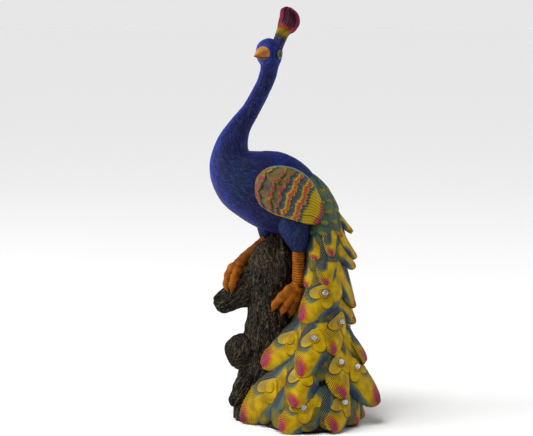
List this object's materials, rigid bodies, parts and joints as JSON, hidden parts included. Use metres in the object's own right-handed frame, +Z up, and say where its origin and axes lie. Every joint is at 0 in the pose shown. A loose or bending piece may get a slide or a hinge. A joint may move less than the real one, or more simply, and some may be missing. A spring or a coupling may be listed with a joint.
{
  "type": "peacock figurine",
  "caption": "Painted resin figurine of a peacock standing on a tree stump, its train falling to the ground, with clear stones set in the train feathers.",
  "frame": {"origin": "on the ground, under the middle of the bounding box", "axes": "+Z up, -X the way the bird's body faces, -Y the bird's left side, which the picture shows"},
  "size_m": [0.116, 0.0874, 0.2812],
  "materials": {
    "painted_resin": "cast polyresin, hand painted in blue, golden yellow, teal and magenta with a brown wash, satin clear coat",
    "clear_stone": "clear faceted acrylic rhinestone with a foil back"
  },
  "bodies": {
    "root": {"peacock_casting": "painted_resin", "rhinestone_01": "clear_stone", "rhinestone_02": "clear_stone", "rhinestone_03": "clear_stone", "rhinestone_04": "clear_stone", "rhinestone_05": "clear_stone", "rhinestone_06": "clear_stone", "rhinestone_07": "clear_stone", "rhinestone_08": "clear_stone", "rhinestone_09": "clear_stone", "rhinestone_10": "clear_stone", "rhinestone_11": "clear_stone", "rhinestone_12": "clear_stone", "rhinestone_13": "clear_stone"}
  },
  "joints": []
}
